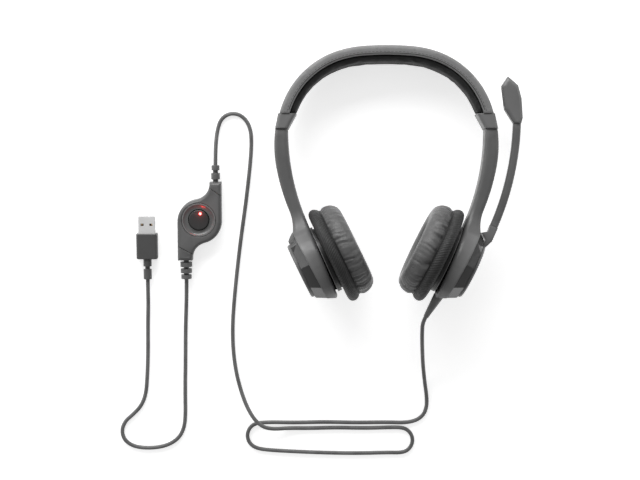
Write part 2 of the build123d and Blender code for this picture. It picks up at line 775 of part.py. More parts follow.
with BuildPart() as ear_cushion:
    with BuildSketch(CUP_SECTION):
        with BuildLine():
            Polyline(*CUSHION_BACK)
            ThreePointArc((29.0, -1.6), (34.0, -5.4), (31.7, -9.8))
            ThreePointArc((31.7, -9.8), (32.0, -13.0), (31.8, -17.0))
            ThreePointArc((31.8, -17.0), (29.2, -22.6), (22.6, -24.0))
            ThreePointArc((22.6, -24.0), (15.6, -20.6), (15.0, -12.6))
        make_face()
    revolve(axis=CUP_AXIS)
save_pair(ear_cushion, "ear_cushion")

# ---------------------------------------------------------------- mic boom and the right cup's disc

with BuildPart() as outer_disc:
    with BuildSketch(CUP.offset(COVER_TOP_S)):
        Circle(DISC_RADIUS)
    extrude(amount=DISC_THICKNESS + HUB_GAP)
    chamfer(outer_disc.edges().group_by(lambda e: (e @ 0 - CUP.origin).dot(CUP.z_dir))[-1], 0.7)
    with BuildSketch(CUP.offset(COVER_TOP_S)):
        Circle(HUB_RADIUS)
    extrude(amount=-4)
with BuildPart() as right_outer_disc:
    mirror(outer_disc.part, about=MIDPLANE)
save(right_outer_disc, "right_outer_disc")


def boom_corner(side):
    """An edge of the boom's square root, inner (-1) or outer (1), in the cup's x, s."""
    half = side * BOOM_THICKNESS / 2
    lean = radians(BOOM_LEAN)
    return (BOOM_ROOT[0] + half * sin(lean), BOOM_ROOT[1] + half * cos(lean))


with BuildPart() as boom_hub:
    with BuildSketch(CUP.offset(COVER_TOP_S + HUB_GAP)):
        Circle(DISC_RADIUS)
    extrude(amount=DISC_THICKNESS)
    chamfer(boom_hub.edges().group_by(lambda e: (e @ 0 - CUP.origin).dot(CUP.z_dir))[-1], 0.7)
    with BuildSketch(CUP_SECTION):
        Polygon(
            *HUB_INNER_OUTLINE,
            boom_corner(-1),
            boom_corner(1),
            *HUB_OUTER_OUTLINE,
            align=None,
        )
    extrude(amount=BOOM_HALF + 1.2, both=True)
    with BuildSketch(CUP.offset(COVER_TOP_S + HUB_GAP)):
        Circle(HUB_RADIUS)
    extrude(amount=-HUB_SHAFT)
    with BuildSketch(CUP.offset(COVER_TOP_S + HUB_GAP - HUB_SHAFT)):
        Circle(HUB_SCREW + 0.05)
    extrude(amount=HUB_SHAFT + 0.8, mode=Mode.SUBTRACT)
save(boom_hub, "boom_hub")

with BuildPart() as hub_screw:
    with BuildSketch(CUP.offset(COVER_TOP_S + HUB_GAP - HUB_SHAFT)):
        Circle(WASHER_RADIUS)
    extrude(amount=-WASHER_THICKNESS)
    with BuildSketch(CUP.offset(COVER_TOP_S + HUB_GAP - HUB_SHAFT - WASHER_THICKNESS)):
        Circle(2 * HUB_SCREW)
    extrude(amount=-1.0)
    with BuildSketch(CUP.offset(COVER_TOP_S + HUB_GAP - HUB_SHAFT)):
        Circle(HUB_SCREW)
    extrude(amount=3.0)
save(hub_screw, "hub_washer_and_screw")

with BuildPart() as boom_arm:
    with BuildLine(CUP_SECTION) as boom_path:
        heading = (cos(radians(BOOM_LEAN)), -sin(radians(BOOM_LEAN)))
        JernArc(BOOM_ROOT, heading, BOOM_RADIUS, -BOOM_SWEEP)
    with BuildSketch(Plane(origin=boom_path.line @ 0, x_dir=HEAD.z_dir, z_dir=boom_path.line % 0)):
        RectangleRounded(2 * BOOM_HALF, BOOM_THICKNESS, BOOM_EDGE)
    sweep(path=boom_path.line)
save(boom_arm, "boom_arm")

BOOM_END_ANGLE = radians(BOOM_LEAN + BOOM_SWEEP)
BOOM_END = (
    BOOM_ROOT[0] + BOOM_RADIUS * (sin(BOOM_END_ANGLE) - sin(radians(BOOM_LEAN))),
    BOOM_ROOT[1] - BOOM_RADIUS * (cos(radians(BOOM_LEAN)) - cos(BOOM_END_ANGLE)),
)


def mic_root(side):
    """A corner of the microphone's root, inner (-1) or outer (1), in the cup's x, s."""
    half = side * MIC_ROOT
    return (BOOM_END[0] + half * sin(BOOM_END_ANGLE), BOOM_END[1] + half * cos(BOOM_END_ANGLE))


with BuildPart() as mic_shell:
    with BuildSketch(CUP_SECTION):
        Polygon(
            mic_root(-1),
            *MIC_OUTLINE,
            mic_root(1),
            align=None,
        )
    extrude(amount=MIC_HALF, both=True)
    for end in (0, -1):
        broad_faces = mic_shell.faces().filter_by(
            lambda f: abs(f.normal_at().dot(HEAD.z_dir)) > 0.99
        )
        broad = broad_faces.sort_by(lambda f: f.center().dot(HEAD.z_dir))[end]
        rim = broad.edges().filter_by(
            lambda e: CUP_SECTION.to_local_coords(e @ 0.5).X > BOOM_END[0] + 1
        )
        chamfer(rim, MIC_BEVEL, MIC_EDGE, reference=broad)
    with BuildSketch(MIC.offset(3)):
        Rectangle(*MIC_WINDOW)
    extrude(amount=-4.8, mode=Mode.SUBTRACT)
    with BuildSketch(MIC.offset(-1.8)):
        Circle(CAPSULE_RADIUS + 0.05)
    extrude(amount=-3.2, mode=Mode.SUBTRACT)
save(mic_shell, "mic_shell")

with BuildPart() as mic_grille:
    with BuildSketch(MIC.offset(-0.9)):
        Rectangle(*MIC_WINDOW)
        with GridLocations(1.6, 1.6, 3, 7):
            Circle(0.5, mode=Mode.SUBTRACT)
    extrude(amount=0.8)
save(mic_grille, "mic_grille")

with BuildPart() as mic_foam:
    with BuildSketch(MIC.offset(-1.8)):
        Rectangle(*MIC_WINDOW)
    extrude(amount=0.9)
save(mic_foam, "mic_foam")

with BuildPart() as mic_capsule:
    with BuildSketch(MIC.offset(-1.8)):
        Circle(CAPSULE_RADIUS)
    extrude(amount=-3.0)
save(mic_capsule, "mic_capsule")

# ---------------------------------------------------------------- cord strain relief at the cup

with BuildPart() as cable_boot:
    with BuildSketch(BOOT):
        Circle(BOOT_BASE)
    extrude(amount=BOOT_LENGTH, taper=BOOT_TAPER)
    with BuildSketch(RIM.offset(-6)):
        Circle(RECESS_RADIUS + 0.1)
    extrude(amount=6 + FLOOR_DEPTH, mode=Mode.SUBTRACT)
    with BuildSketch(RIM):
        Circle(CAVITY_RADIUS)
    extrude(amount=20, mode=Mode.SUBTRACT)
save(cable_boot, "cable_boot")

# ---------------------------------------------------------------- in-line remote

REMOTE = Plane(origin=(*REMOTE_CENTRE, 0))
RING = Plane(origin=REMOTE.from_local_coords(Vector(*RING_CENTRE, 0)))

with BuildSketch(REMOTE) as remote_outline:
    Circle(BODY_RADIUS)
    with Locations((BODY_RADIUS - UPPER_NECK / 2, NECK_END / 2)):
        Rectangle(UPPER_NECK, NECK_END)
    with Locations((LOWER_NECK / 2 - BODY_RADIUS, -NECK_END / 2)):
        Rectangle(LOWER_NECK, NECK_END)
    inner_corners = remote_outline.vertices().filter_by(
        lambda v: abs(v.X) < BODY_RADIUS - 3 and abs(v.Y) < 20
    )
    fillet(inner_corners, NECK_FILLET)

with BuildSketch(REMOTE) as upper_end:
    Polygon(*UPPER_SEAM, (20, 40), (0, 40), align=None)
with BuildSketch(REMOTE) as lower_end:
    Polygon(*LOWER_SEAM, (0, -40), (-20, -40), align=None)
with BuildSketch(REMOTE) as upper_boot_end:
    with Locations((0, BOOT_SEAM_GAP)):
        Polygon(*UPPER_SEAM, (20, 40), (0, 40), align=None)
with BuildSketch(REMOTE) as lower_boot_end:
    with Locations((0, -BOOT_SEAM_GAP)):
        Polygon(*LOWER_SEAM, (0, -40), (-20, -40), align=None)


def edges_at(piece, height):
    """A piece's edges that lie flat at one height."""
    return piece.edges().filter_by(
        lambda e: abs((e @ 0).Z - height) < 0.01 and abs((e @ 1).Z - height) < 0.01
    )


# The remote is drawn as one rounded block, then cut into its two shells and its two end boots
with BuildPart() as remote_block:
    extrude(remote_outline.sketch, amount=REMOTE_TOP_Z)
    fillet(edges_at(remote_block, REMOTE_TOP_Z), REMOTE_TOP_EDGE)
    fillet(edges_at(remote_block, 0), REMOTE_BACK_EDGE)

with BuildPart() as remote_body:
    add(remote_block.part)
    extrude(upper_end.sketch, amount=REMOTE_TOP_Z, mode=Mode.SUBTRACT)
    extrude(lower_end.sketch, amount=REMOTE_TOP_Z, mode=Mode.SUBTRACT)

with BuildPart() as remote_back:
    add(remote_body.part)
    split(bisect_by=REMOTE.offset(REMOTE_SEAM_Z), keep=Keep.BOTTOM)
    with Locations(REMOTE.offset(REMOTE_WALL)):
        Cylinder(BODY_RADIUS - REMOTE_WALL, REMOTE_SEAM_Z, align=STANDING, mode=Mode.SUBTRACT)
    for x, y in REMOTE_SCREWS:
        with Locations(REMOTE.from_local_coords(Vector(x, y, 0))):
            Cylinder(REMOTE_SCREW_HEAD + 0.1, 1.1, align=STANDING, mode=Mode.SUBTRACT)
            Cylinder(SCREW_HOLE + 0.05, REMOTE_SEAM_Z, align=STANDING, mode=Mode.SUBTRACT)
save(remote_back, "remote_back")

with BuildPart() as remote_front:
    add(remote_body.part)
    split(bisect_by=REMOTE.offset(REMOTE_SEAM_Z), keep=Keep.TOP)
    with Locations(REMOTE.offset(REMOTE_SEAM_Z)):
        Cylinder(
            BODY_RADIUS - REMOTE_WALL,
            REMOTE_TOP_Z - REMOTE_WALL - REMOTE_SEAM_Z,
            align=STANDING,
            mode=Mode.SUBTRACT,
        )
    with Locations(RING.offset(REMOTE_SEAM_Z)):
        Cylinder(RING_OPENING, 10, align=STANDING, mode=Mode.SUBTRACT)
    for x, y in REMOTE_SCREWS:
        with Locations(REMOTE.from_local_coords(Vector(x, y, REMOTE_SEAM_Z))):
            Cylinder(SCREW_HOLE, 3.2, align=STANDING, mode=Mode.SUBTRACT)

with BuildPart() as volume_ring:
    with BuildSketch(Plane(origin=RING.origin, x_dir=(1, 0, 0), z_dir=(0, -1, 0))):
        with BuildLine():
            Polyline((7.6, 6.2), (11.8, 6.2), (11.8, 10.3), (10.9, 10.3))
            ThreePointArc((10.9, 10.3), (9.4, 9.2), (7.6, 8.9))
            Line((7.6, 8.9), (7.6, 6.2))
        make_face()
    revolve(axis=Axis(RING.origin, (0, 0, 1)))
    with Locations(RING.offset(RING_PIVOT_Z)):
        Cylinder(RING_PIN, 2 * RING_PIN_END, rotation=(0, 90, 0))
        Cylinder(7.6, 6, mode=Mode.SUBTRACT)
save(volume_ring, "volume_ring")

with BuildPart() as ring_bearings:
    for side in (-1, 1):
        with Locations(RING.offset(RING_PIVOT_Z)):
            with Locations((side * (RING_PIN_END - 0.3), 0, 0)):
                Box(1.4, 3.4, 3.2)
    with Locations(RING.offset(RING_PIVOT_Z)):
        Cylinder(RING_PIN + 0.06, 30, rotation=(0, 90, 0), mode=Mode.SUBTRACT)
with BuildPart() as front_with_bearings:
    add(remote_front.part)
    add(ring_bearings.part)
save(front_with_bearings, "remote_front")

with BuildPart() as mute_button:
    with Locations(RING.offset(6.2)):
        Cylinder(BUTTON_RADIUS, 4.0, align=STANDING)
    fillet(edges_at(mute_button, 10.2), 0.8)
    with Locations(RING.offset(8.6)):
        with Locations(LED_PLACE):
            Cylinder(LED_RADIUS, 3, align=STANDING, mode=Mode.SUBTRACT)
save(mute_button, "mute_button")

with BuildPart() as led_lens:
    with Locations(RING.offset(8.6)):
        with Locations(LED_PLACE):
            Cylinder(LED_RADIUS, 1.75, align=STANDING)
    fillet(edges_at(led_lens, 10.35), 0.3)
save(led_lens, "led_lens")

with BuildPart() as remote_board:
    with Locations(REMOTE.offset(REMOTE_WALL + 0.8)):
        Cylinder(BOARD_RADIUS, BOARD_THICKNESS, align=STANDING)
    for y in SWITCH_PLACES:
        with Locations(RING.offset(REMOTE_WALL + 0.8 + BOARD_THICKNESS)):
            with Locations((0, y, 0)):
                Cylinder(SWITCH_RADIUS, SWITCH_RADIUS, align=STANDING)
save(remote_board, "remote_board")

with BuildPart() as remote_screws:
    for x, y in REMOTE_SCREWS:
        with Locations(REMOTE.from_local_coords(Vector(x, y, 0.1))):
            Cylinder(REMOTE_SCREW_HEAD, 0.95, align=STANDING)
            Cylinder(SCREW_HOLE - 0.05, 7.8, align=STANDING)
save(remote_screws, "remote_screws")


def ribbed_stem(at, heading, stations):
    """A strain relief's stem: discs on a thin core, as (radius, length) from its root."""
    distance = 0.0
    for radius, length in stations:
        spot = Plane(origin=at + heading * distance, z_dir=heading)
        with Locations(spot):
            Cylinder(radius, length, align=STANDING)
        distance += length


with BuildPart() as remote_upper_boot:
    add(remote_block.part)
    extrude(upper_boot_end.sketch, amount=REMOTE_TOP_Z, mode=Mode.INTERSECT)
    upper_root = REMOTE.from_local_coords(Vector(UPPER_STEM_X, NECK_END, REMOTE_CORD_Z))
    ribbed_stem(upper_root, Vector(0, 1, 0), UPPER_STEM)
save(remote_upper_boot, "remote_upper_boot")

with BuildPart() as remote_lower_boot:
    add(remote_block.part)
    extrude(lower_boot_end.sketch, amount=REMOTE_TOP_Z, mode=Mode.INTERSECT)
    lower_root = REMOTE.from_local_coords(Vector(LOWER_STEM_X, -NECK_END, REMOTE_CORD_Z))
    ribbed_stem(lower_root, Vector(0, -1, 0), LOWER_STEM)
save(remote_lower_boot, "remote_lower_boot")

# ---------------------------------------------------------------- USB plug

PLUG = Plane(origin=(*PLUG_CENTRE, PLUG_CORD_Z))
FRONT_PLUG = Plane(
    origin=PLUG.from_local_coords(Vector(0, MOULD_LENGTH / 2, 0)), x_dir=(1, 0, 0), z_dir=(0, 1, 0)
)

with BuildPart() as usb_shell:
    with BuildSketch(FRONT_PLUG.offset(-SHELL_INSIDE)):
        RectangleRounded(SHELL_WIDTH, SHELL_HEIGHT, 0.5)
        RectangleRounded(
            SHELL_WIDTH - 2 * SHELL_WALL, SHELL_HEIGHT - 2 * SHELL_WALL, 0.3, mode=Mode.SUBTRACT
        )
    extrude(amount=SHELL_INSIDE + SHELL_LENGTH)
    with Locations(PLUG):
        with Locations((-SHELL_HOLE_X, SHELL_HOLE_Y, 0), (SHELL_HOLE_X, SHELL_HOLE_Y, 0)):
            Box(*SHELL_HOLE, SHELL_HEIGHT + 1, mode=Mode.SUBTRACT)
save(usb_shell, "usb_shell")

with BuildPart() as usb_insert:
    with Locations(FRONT_PLUG.offset(-SHELL_INSIDE)):
        with Locations((0, INSERT_DROP, 0)):
            Box(*INSERT_SECTION, SHELL_INSIDE + SHELL_LENGTH - 0.5, align=STANDING)
save(usb_insert, "usb_insert")

with BuildPart() as usb_contacts:
    for x in CONTACT_PLACES:
        with Locations(FRONT_PLUG.offset(1.0)):
            with Locations((x, INSERT_DROP - INSERT_SECTION[1] / 2, 0)):
                Box(1.0, 0.15, SHELL_LENGTH - 3.0, align=(Align.CENTER, Align.MAX, Align.MIN))
save(usb_contacts, "usb_contacts")

with BuildPart() as usb_overmould:
    with Locations(PLUG):
        Box(MOULD_WIDTH, MOULD_LENGTH, 2 * PLUG_CORD_Z)
    fillet(usb_overmould.edges().filter_by(Axis.Y), 1.8)
    mould_ends = usb_overmould.edges().filter_by(
        lambda e: abs((e @ 0.5 - PLUG.origin).Y) > MOULD_LENGTH / 2 - 0.01
    )
    fillet(mould_ends, 0.6)
    with BuildSketch(FRONT_PLUG):
        RectangleRounded(SHELL_WIDTH, SHELL_HEIGHT, 0.5)
    extrude(amount=-SHELL_INSIDE, mode=Mode.SUBTRACT)
    plug_root = PLUG.from_local_coords(Vector(0, -MOULD_LENGTH / 2, 0))
    ribbed_stem(plug_root, Vector(0, -1, 0), PLUG_STEM)
save(usb_overmould, "usb_overmould")

# ---------------------------------------------------------------- cords


def bend_radii(route):
    """Each corner's radius: as large as its two runs allow."""
    points = [Vector(*place) for place in route]
    radii = []
    for before, corner, after in zip(points, points[1:], points[2:]):
        turn = (corner - before).get_angle(after - corner)
        shorter = min((corner - before).length, (after - corner).length)
        radii.append(0.45 * shorter / tan(radians(turn / 2)))
    return radii


def cord_along(route):
    """A round cord swept along the route's runs and the arcs between them."""
    with BuildPart() as cord:
        with BuildLine() as path:
            FilletPolyline(*route, radius=bend_radii(route))
        with BuildSketch(Plane(origin=path.wire() @ 0, z_dir=path.wire() % 0)):
            Circle(CORD / 2)
        sweep(path=path.wire())
    measured = cord.part.volume / (pi * CORD**2 / 4)
    print("cord length", round(path.wire().length, 1), "by volume", round(measured, 1))
    print("bend radii", [round(radius, 1) for radius in bend_radii(route)])
    return cord


save(cord_along(UPPER_ROUTE), "upper_cord")
save(cord_along(LOWER_ROUTE), "lower_cord")
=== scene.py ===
import json
from math import atan2, cos, exp, pi, radians, sin

import bmesh
import bpy
from mathutils import Matrix, Vector, noise
from mathutils.bvhtree import BVHTree


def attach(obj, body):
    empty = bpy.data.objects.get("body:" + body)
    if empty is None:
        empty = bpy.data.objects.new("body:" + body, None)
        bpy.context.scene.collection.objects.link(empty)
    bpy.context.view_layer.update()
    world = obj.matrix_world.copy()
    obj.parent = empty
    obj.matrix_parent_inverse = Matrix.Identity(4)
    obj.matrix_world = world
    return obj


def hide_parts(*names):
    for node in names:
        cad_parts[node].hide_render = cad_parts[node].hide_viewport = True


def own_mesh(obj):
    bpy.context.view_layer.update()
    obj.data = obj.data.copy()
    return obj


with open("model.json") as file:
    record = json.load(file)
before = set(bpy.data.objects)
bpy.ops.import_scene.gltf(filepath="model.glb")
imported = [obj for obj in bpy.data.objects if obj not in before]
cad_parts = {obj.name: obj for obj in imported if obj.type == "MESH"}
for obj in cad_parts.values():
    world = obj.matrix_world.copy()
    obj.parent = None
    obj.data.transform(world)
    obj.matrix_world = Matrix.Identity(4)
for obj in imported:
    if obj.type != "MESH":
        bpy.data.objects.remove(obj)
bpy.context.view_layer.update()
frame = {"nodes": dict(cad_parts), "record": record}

MM = 0.001
nodes = frame["nodes"]


def placed(name, data):
    """A new object in the scene."""
    made = bpy.data.objects.new(name, data)
    bpy.context.scene.collection.objects.link(made)
    return made


# ---------------------------------------------------------------- the head frame and the cups

# The headset lies on its cups, so its plane dips from them to the band's top, by this angle.
PITCH = radians(8.36)
HEAD_ORIGIN = Vector((-8.4, 25.98, 22.904)) * MM
HEAD_X = Vector((1, 0, 0))
HEAD_Y = Vector((0, cos(PITCH), -sin(PITCH)))
HEAD_Z = Vector((0, sin(PITCH), cos(PITCH)))
# Where the left cup's own frame starts in the head frame; the right one mirrors it.
CUP_CENTRE = (41.2, -78.8)
CUP_TILT = radians(26)
SIDES = {"left": 1, "right": -1}


def head_point(u, v, w=0.0):
    """A point of the head frame, given in millimetres, in the row frame."""
    return HEAD_ORIGIN + (HEAD_X * u + HEAD_Y * v + HEAD_Z * w) * MM


def cup_matrix(side):
    """Takes millimetres up the cup, out of its front and outwards along its axis to the row frame."""
    sign = SIDES[side]
    out = HEAD_X * (sign * cos(CUP_TILT)) - HEAD_Y * sin(CUP_TILT)
    up = HEAD_X * (sign * sin(CUP_TILT)) + HEAD_Y * cos(CUP_TILT)
    columns = Matrix((up, HEAD_Z * sign, out)).transposed().to_4x4()
    place = head_point(sign * CUP_CENTRE[0], CUP_CENTRE[1])
    return Matrix.Translation(place) @ columns @ Matrix.Scale(MM, 4)


# ---------------------------------------------------------------- camera

CAMERA_PLACE = head_point(-45.3, -65.9, 1000)
CAMERA_TURN = Matrix((HEAD_X, HEAD_Y, HEAD_Z)).transposed().to_4x4()
LENS = 82.0
SENSOR_WIDTH = 36.0
camera = placed("camera", bpy.data.cameras.new("camera"))
camera.data.lens = LENS
camera.data.sensor_width = SENSOR_WIDTH
camera.matrix_world = Matrix.Translation(CAMERA_PLACE) @ CAMERA_TURN
bpy.context.scene.camera = camera

# ---------------------------------------------------------------- cords

CORD = 2.8 * MM
UPPER_ROUTE = (
    (0.0195, -0.0925, 0.0334),
    (0.0174, -0.0966, 0.0323),
    (0.0172, -0.104, 0.0294),
    (0.0179, -0.1165, 0.022),
    (0.0194, -0.1325, 0.0106),
    (0.0214, -0.147, 0.0032),
    (0.023, -0.1575, 0.0014),
    (0.0231, -0.1648, 0.0014),
    (0.0209, -0.1711, 0.0014),
    (0.0156, -0.1752, 0.0014),
    (0.0075, -0.1769, 0.0014),
    (-0.006, -0.1764, 0.0014),
    (-0.027, -0.1768, 0.0014),
    (-0.05, -0.1762, 0.0014),
    (-0.072, -0.1768, 0.0014),
    (-0.089, -0.1764, 0.0014),
    (-0.0997, -0.177, 0.0014),
    (-0.1046, -0.1806, 0.0014),
    (-0.1065, -0.1864, 0.0014),
    (-0.1046, -0.1922, 0.0014),
    (-0.0997, -0.1959, 0.0014),
    (-0.09, -0.1973, 0.0014),
    (-0.072, -0.1983, 0.0014),
    (-0.048, -0.1993, 0.0014),
    (-0.025, -0.1996, 0.0014),
    (-0.0052, -0.199, 0.0014),
    (0.0066, -0.1992, 0.0014),
    (0.0116, -0.1956, 0.0014),
    (0.0135, -0.1898, 0.0014),
    (0.0116, -0.184, 0.0014),
    (0.0067, -0.1804, 0.0014),
    (-0.0035, -0.1803, 0.0014),
    (-0.021, -0.1809, 0.0014),
    (-0.042, -0.1804, 0.0014),
    (-0.061, -0.181, 0.0014),
    (-0.076, -0.1806, 0.0022),
    (-0.0866, -0.1806, 0.0052),
    (-0.0945, -0.1786, 0.0076),
    (-0.101, -0.1726, 0.0076),
    (-0.1064, -0.1636, 0.005),
    (-0.1106, -0.1526, 0.002),
    (-0.1138, -0.1398, 0.0014),
    (-0.1159, -0.1235, 0.0014),
    (-0.1161, -0.104, 0.0014),
    (-0.1145, -0.084, 0.0014),
    (-0.1122, -0.063, 0.0014),
    (-0.1095, -0.0415, 0.0014),
    (-0.1064, -0.0205, 0.0014),
    (-0.104, -0.0015, 0.0014),
    (-0.1024, 0.0135, 0.0014),
    (-0.1017, 0.0245, 0.0014),
    (-0.1021, 0.0336, 0.0014),
    (-0.1049, 0.0406, 0.0014),
    (-0.1104, 0.0452, 0.0014),
    (-0.1173, 0.0456, 0.0014),
    (-0.123, 0.0416, 0.0014),
    (-0.1254, 0.0344, 0.0016),
    (-0.1265, 0.026, 0.003),
    (-0.1268, 0.017, 0.0045),
    (-0.1269, 0.0095, 0.0046),
)
LOWER_ROUTE = (
    (-0.1757, -0.0712, 0.004),
    (-0.1757, -0.079, 0.0038),
    (-0.1759, -0.09, 0.002),
    (-0.1765, -0.105, 0.0014),
    (-0.1767, -0.125, 0.0014),
    (-0.1776, -0.1435, 0.0014),
    (-0.1788, -0.156, 0.0014),
    (-0.1824, -0.1646, 0.0014),
    (-0.1884, -0.1708, 0.0014),
    (-0.1942, -0.1758, 0.0014),
    (-0.1968, -0.1827, 0.0014),
    (-0.1949, -0.1897, 0.0014),
    (-0.189, -0.1941, 0.0014),
    (-0.1812, -0.1956, 0.0014),
    (-0.1715, -0.1954, 0.0014),
    (-0.1625, -0.1931, 0.0014),
    (-0.1554, -0.1881, 0.0014),
    (-0.1516, -0.1806, 0.0014),
    (-0.1505, -0.1708, 0.0014),
    (-0.1506, -0.1535, 0.0014),
    (-0.15, -0.131, 0.0014),
    (-0.1497, -0.11, 0.0014),
    (-0.149, -0.0935, 0.0018),
    (-0.1483, -0.081, 0.0042),
    (-0.1482, -0.0708, 0.0046),
)


def cord_piece(name, route):
    """A round cord along a smooth line that the route's points guide.

    The thickness sits on the points, because a curve's bounds reach as far as their radius.
    """
    curve = bpy.data.curves.new(name, "CURVE")
    curve.dimensions = "3D"
    curve.bevel_depth = 1.0
    curve.bevel_resolution = 6
    curve.resolution_u = 12
    spline = curve.splines.new("NURBS")
    spline.points.add(len(route) - 1)
    for point, place in zip(spline.points, route):
        point.co = (*place, 1.0)
        point.radius = CORD / 2
    spline.order_u = 3
    spline.use_endpoint_u = True
    piece = placed(name, curve)
    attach(piece, "left_arm")
    return piece


upper_lead = cord_piece("upper_lead", UPPER_ROUTE)
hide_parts("upper_cord")
lower_lead = cord_piece("lower_lead", LOWER_ROUTE)
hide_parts("lower_cord")

# ---------------------------------------------------------------- materials


class Shader:
    """A principled material and the few node helpers that every finish here uses."""

    def __init__(self, name, **values):
        self.material = bpy.data.materials.new(name)
        self.material.use_nodes = True
        self.tree = self.material.node_tree
        self.surface = self.tree.nodes["Principled BSDF"]
        for socket, value in values.items():
            self.surface.inputs[socket.replace("_", " ")].default_value = value
        self.place = self.node("ShaderNodeTexCoord").outputs["Object"]

    def node(self, kind, **settings):
        """A new node with its settings."""
        made = self.tree.nodes.new(kind)
        for key, value in settings.items():
            setattr(made, key, value)
        return made

    def link(self, source, target):
        self.tree.links.new(source, target)

    def noise(self, scale, detail=4.0, roughness=0.55, place=None):
        """Smooth noise, with about as many waves in a metre as the scale says."""
        made = self.node("ShaderNodeTexNoise")
        made.inputs["Scale"].default_value = scale
        made.inputs["Detail"].default_value = detail
        made.inputs["Roughness"].default_value = roughness
        self.link(place or self.place, made.inputs["Vector"])
        return made.outputs["Fac"]

    def cells(self, scale):
        """How far a place is from the nearest wall between cells."""
        made = self.node("ShaderNodeTexVoronoi", feature="DISTANCE_TO_EDGE")
        made.inputs["Scale"].default_value = scale
        self.link(self.place, made.inputs["Vector"])
        return made.outputs["Distance"]

    def turned(self, angles, scale):
        """The object's coordinates, turned and stretched."""
        made = self.node("ShaderNodeMapping")
        made.inputs["Rotation"].default_value = angles
        made.inputs["Scale"].default_value = scale
        self.link(self.place, made.inputs["Vector"])
        return made.outputs["Vector"]

    def spread(self, value, low, high, start=0.35, end=0.65):
        """A value between start and end, mapped to low and high."""
        made = self.node("ShaderNodeMapRange")
        made.inputs["From Min"].default_value = start
        made.inputs["From Max"].default_value = end
        made.inputs["To Min"].default_value = low
        made.inputs["To Max"].default_value = high
        self.link(value, made.inputs["Value"])
        return made.outputs["Result"]

    def maths(self, kind, first, second):
        """One operation on two values, each a number or another node's output."""
        made = self.node("ShaderNodeMath", operation=kind)
        for socket, value in zip(made.inputs, (first, second)):
            if isinstance(value, float):
                socket.default_value = value
            else:
                self.link(value, socket)
        return made.outputs["Value"]

    def colours(self, value, dark, light):
        """Mixes the base colour from dark, where the value is 0, to light, where it is 1."""
        made = self.node("ShaderNodeMix", data_type="RGBA")
        made.inputs["A"].default_value = (*dark, 1)
        made.inputs["B"].default_value = (*light, 1)
        self.link(value, made.inputs["Factor"])
        self.link(made.outputs["Result"], self.surface.inputs["Base Color"])
        return made

    def worn_edges(self, mix, light):
        """Lightens a colour a little where the surface turns a convex edge."""
        pointed = self.node("ShaderNodeNewGeometry").outputs["Pointiness"]
        edge = self.spread(pointed, 0.0, 0.6, 0.52, 0.6)
        made = self.node("ShaderNodeMix", data_type="RGBA")
        made.inputs["B"].default_value = (*light, 1)
        self.link(edge, made.inputs["Factor"])
        self.link(mix.outputs["Result"], made.inputs["A"])
        self.link(made.outputs["Result"], self.surface.inputs["Base Color"])

    def rough(self, value):
        self.link(value, self.surface.inputs["Roughness"])

    def bumps(self, *heights, soft_edge=0.0):
        """Stacks bumps, each (height, depth in millimetres), over an optional softened edge."""
        normal = None
        if soft_edge:
            bevel = self.node("ShaderNodeBevel", samples=4)
            bevel.inputs["Radius"].default_value = soft_edge * MM
            normal = bevel.outputs["Normal"]
        for height, depth in heights:
            bump = self.node("ShaderNodeBump")
            bump.inputs["Distance"].default_value = depth * MM
            self.link(height, bump.inputs["Height"])
            if normal:
                self.link(normal, bump.inputs["Normal"])
            normal = bump.outputs["Normal"]
        self.link(normal, self.surface.inputs["Normal"])


def grey(value, warmth=0.0):
    """A neutral colour, very slightly warm or cool."""
    return (value * (1 + warmth), value, value * (1 - warmth))


def moulded(name, value, roughness=0.55, grain=0.03, soft_edge=0.35, **values):
    """Moulded plastic with a fine spark-eroded grain and slightly polished edges."""
    shader = Shader(name, **values)
    broad = shader.noise(45, 3)
    mix = shader.colours(shader.spread(broad, 0.0, 1.0), grey(value * 0.9), grey(value * 1.1))
    shader.worn_edges(mix, grey(value * 1.7))
    shader.rough(shader.spread(shader.noise(260, 5), roughness - 0.06, roughness + 0.06))
    shader.bumps((shader.noise(3200, 3), grain), soft_edge=soft_edge)
    return shader.material


def glossy(name, value, roughness=0.12):
    """Polished plastic with faint swirls and dust in its gloss."""
    shader = Shader(name)
    broad = shader.spread(shader.noise(60, 2), 0.0, 1.0)
    mix = shader.colours(broad, grey(value * 0.85), grey(value * 1.15))
    shader.worn_edges(mix, grey(value * 2.0))
    shader.rough(shader.spread(shader.noise(420, 6, 0.7), roughness - 0.03, roughness + 0.08))
    shader.bumps((shader.noise(900, 2), 0.004), soft_edge=0.25)
    return shader.material


def leatherette(name, value, roughness, grain, soft_edge=0.0):
    """Soft coated fabric: pebbled grain in two sizes, with rubbed, shinier high spots."""
    shader = Shader(name)
    pebbles = shader.cells(1500)
    pores = shader.cells(4200)
    broad = shader.spread(shader.noise(90, 4), 0.0, 1.0)
    mix = shader.colours(broad, grey(value * 0.92), grey(value * 1.08))
    shader.worn_edges(mix, grey(value * 1.3))
    shader.rough(shader.spread(shader.noise(120, 5), roughness - 0.07, roughness + 0.1))
    shader.bumps(
        (shader.noise(260, 4), 0.03),
        (shader.spread(pebbles, 0.0, 1.0, 0.0, 0.22), grain),
        (shader.spread(pores, 0.0, 1.0, 0.0, 0.2), grain * 0.4),
        soft_edge=soft_edge,
    )
    return shader.material


def cup_axes(shader, matrix):
    """Coordinates up, across and along a cup, in metres."""
    inverse = (matrix @ Matrix.Scale(1 / MM, 4)).inverted()
    mapping = shader.node("ShaderNodeMapping")
    mapping.inputs["Rotation"].default_value = inverse.to_euler()
    mapping.inputs["Location"].default_value = inverse.translation
    shader.link(shader.place, mapping.inputs["Vector"])
    axes = shader.node("ShaderNodeSeparateXYZ")
    shader.link(mapping.outputs["Vector"], axes.inputs["Vector"])
    return axes


# How far the painted highlight along the lip leans towards the ear, for each millimetre up the cup.
RIM_LIGHT_RISE = 0.0297


